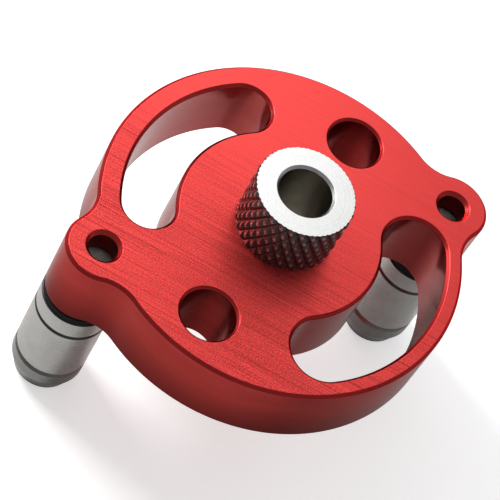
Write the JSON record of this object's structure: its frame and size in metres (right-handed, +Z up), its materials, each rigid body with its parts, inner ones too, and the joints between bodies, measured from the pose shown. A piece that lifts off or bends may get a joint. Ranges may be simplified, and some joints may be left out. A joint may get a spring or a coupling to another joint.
{
  "type": "self centering doweling jig",
  "caption": "Self centering doweling jig: a thick round plate with ears, curved slots and a knurled drill bushing at its centre, and roller posts below that bear on both faces of a board.",
  "frame": {"origin": "on the axis of the drill bushing, at the underside of the plate that rests on the board's edge", "axes": "+Z up along the drill, away from the board; +X through the axes of the two posts, towards the right post; +Y completes the right-handed set"},
  "size_m": [0.0846, 0.07, 0.0553],
  "materials": {
    "anodised_plate": "red anodised, fine straight brushing on the upper face and smooth glossy sides",
    "bushing_steel": "hardened steel, bright turned face and dark knurl",
    "post_steel": "satin turned steel",
    "washer_black": "matt black"
  },
  "bodies": {
    "jig": {"jig_plate": "anodised_plate", "left_post_screw": "post_steel", "right_post_screw": "post_steel", "left_collar": "post_steel", "right_collar": "post_steel", "left_washer": "washer_black", "right_washer": "washer_black"},
    "bushing": {"drill_bushing": "bushing_steel"},
    "left_roller_body": {"left_roller": "post_steel"},
    "right_roller_body": {"right_roller": "post_steel"}
  },
  "joints": [
    {"name": "bushing_lift", "type": "slide", "parent": "jig", "child": "bushing", "axis": [0, 0, 1], "range_m": [0, 0.015]},
    {"name": "left_roller_spin", "type": "hinge", "parent": "jig", "child": "left_roller_body", "pos_m": [-0.0353, 0, -0.0136], "axis": [0, 0, 1], "continuous": true},
    {"name": "right_roller_spin", "type": "hinge", "parent": "jig", "child": "right_roller_body", "pos_m": [0.0353, 0, -0.0136], "axis": [0, 0, 1], "continuous": true}
  ]
}
